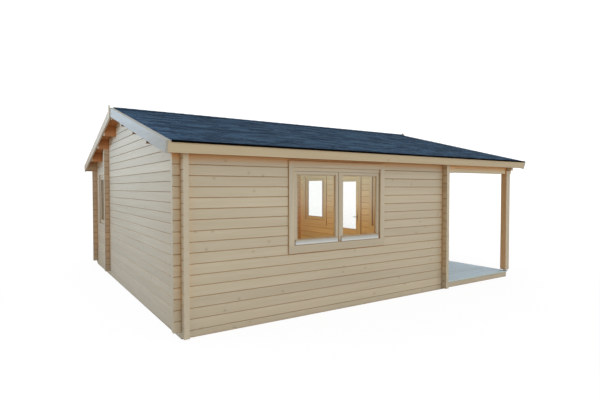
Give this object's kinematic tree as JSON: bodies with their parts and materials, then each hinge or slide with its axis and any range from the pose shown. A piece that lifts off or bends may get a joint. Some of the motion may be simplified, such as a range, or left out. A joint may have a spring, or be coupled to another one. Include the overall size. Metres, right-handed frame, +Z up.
{
  "type": "log cabin",
  "caption": "Single-storey cabin of interlocked planed logs with a low gabled shingle roof, two rooms, glazed windows, a half-glazed hinged door and a covered veranda on posts.",
  "frame": {"origin": "on the ground under the middle of the roof", "axes": "+X along the ridge towards the open veranda, +Y from the front eave wall to the back one, +Z up"},
  "size_m": [7.3396, 6.8056, 3.2929],
  "materials": {
    "log_wood": "planed spruce logs, unpainted",
    "roof_wood": "planed spruce boards, unpainted",
    "shingle": "mineral-faced bitumen shingles, dark blue-grey",
    "floor_wood": "planed softwood boards",
    "deck_wood": "weathered grey deck boards with wood rim",
    "post_wood": "planed glued post",
    "steel": "zinc-plated steel",
    "joinery_wood": "planed spruce joinery",
    "drip_metal": "pale coated aluminium",
    "glass": "clear"
  },
  "bodies": {
    "cabin": {"back_fascia": "roof_wood", "back_purlins": "roof_wood", "back_roof_boards": "roof_wood", "back_shingles": "shingle", "back_wall": "log_wood", "door_casing": "joinery_wood", "door_frame": "joinery_wood", "door_stops": "joinery_wood", "finial_boards": "roof_wood", "floor_bearers": "floor_wood", "foundation_boards": "floor_wood", "front_fascia": "roof_wood", "front_purlins": "roof_wood", "front_roof_boards": "roof_wood", "front_shingles": "shingle", "front_wall": "log_wood", "front_window_casing": "joinery_wood", "front_window_drip_bars": "drip_metal", "front_window_frame": "joinery_wood", "front_window_glass": "glass", "front_window_sash": "joinery_wood", "gable_window_casing": "joinery_wood", "gable_window_frame": "joinery_wood", "gable_window_glass": "glass", "gable_window_sash": "joinery_wood", "jamb_hinges": "steel", "left_bargeboards": "roof_wood", "left_gable_wall": "log_wood", "main_floor": "floor_wood", "partition_wall": "log_wood", "post_feet": "steel", "ridge_purlin": "roof_wood", "ridge_shingles": "shingle", "small_room_floor": "floor_wood", "veranda_bargeboards": "roof_wood", "veranda_beams": "deck_wood", "veranda_bearers": "deck_wood", "veranda_deck": "deck_wood", "veranda_gable": "log_wood", "veranda_posts": "post_wood", "veranda_wall": "log_wood", "veranda_window_casing": "joinery_wood", "veranda_window_frame": "joinery_wood", "veranda_window_glass": "glass", "veranda_window_sash": "joinery_wood", "verge_fillets": "roof_wood"},
    "door": {"door_leaf": "joinery_wood", "door_glass": "glass", "door_handle": "steel", "leaf_hinges": "steel"}
  },
  "joints": [
    {"name": "door_hinge", "type": "hinge", "parent": "cabin", "child": "door", "pos_m": [1.439, -0.0355, 0], "axis": [0, 0, 1], "range_deg": [0, 105]}
  ]
}
